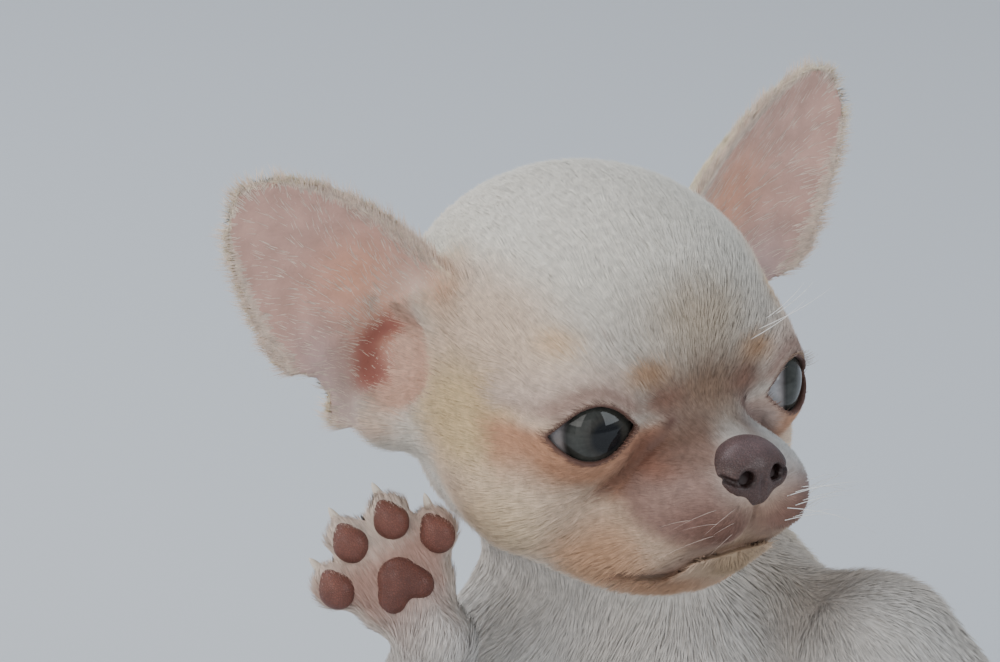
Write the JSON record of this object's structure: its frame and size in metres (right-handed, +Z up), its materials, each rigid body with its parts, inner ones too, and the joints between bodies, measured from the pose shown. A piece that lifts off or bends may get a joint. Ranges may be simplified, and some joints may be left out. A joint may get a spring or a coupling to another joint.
{
  "type": "chihuahua puppy",
  "caption": "Life-size still model of a short-coated cream chihuahua puppy sitting on its haunches, head turned to its left and one forepaw raised with its pads forward.",
  "frame": {"origin": "on the floor, in the middle of the flat that the rump sits on", "axes": "+Z up from the floor, -Y the way the body faces, +X the puppy's left; the head is turned 50 degrees to the puppy's left"},
  "size_m": [0.1249, 0.1423, 0.152],
  "materials": {
    "coat": "short dense cream and fawn fur, matte with a slight sheen",
    "ear": "thin pink skin inside, short cream fur outside",
    "eye": "wet slate-grey eye, mirror-smooth",
    "nose": "fine pebbled brown nose leather, slightly moist",
    "pad": "soft pink-brown pad skin with fine grain",
    "claw": "pale horn, slightly translucent"
  },
  "bodies": {
    "root": {"head": "coat", "neck": "coat", "torso": "coat", "tail": "coat", "foreleg_left": "coat", "foreleg_right": "coat", "thigh_left": "coat", "thigh_right": "coat", "shank_left": "coat", "shank_right": "coat", "foreleg_left_paw": "coat", "foreleg_right_paw": "coat", "hindleg_left_paw": "coat", "hindleg_right_paw": "coat", "ear_left": "ear", "ear_right": "ear", "eye_left": "eye", "eye_right": "eye", "nose": "nose", "foreleg_right_palm_pad": "pad", "foreleg_right_toe_pad_1": "pad", "foreleg_right_toe_pad_2": "pad", "foreleg_right_toe_pad_3": "pad", "foreleg_right_toe_pad_4": "pad", "foreleg_left_paw_claw_1": "claw", "foreleg_left_paw_claw_2": "claw", "foreleg_left_paw_claw_3": "claw", "foreleg_left_paw_claw_4": "claw", "foreleg_right_paw_claw_1": "claw", "foreleg_right_paw_claw_2": "claw", "foreleg_right_paw_claw_3": "claw", "foreleg_right_paw_claw_4": "claw", "hindleg_left_paw_claw_1": "claw", "hindleg_left_paw_claw_2": "claw", "hindleg_left_paw_claw_3": "claw", "hindleg_left_paw_claw_4": "claw", "hindleg_right_paw_claw_1": "claw", "hindleg_right_paw_claw_2": "claw", "hindleg_right_paw_claw_3": "claw", "hindleg_right_paw_claw_4": "claw"}
  },
  "joints": []
}
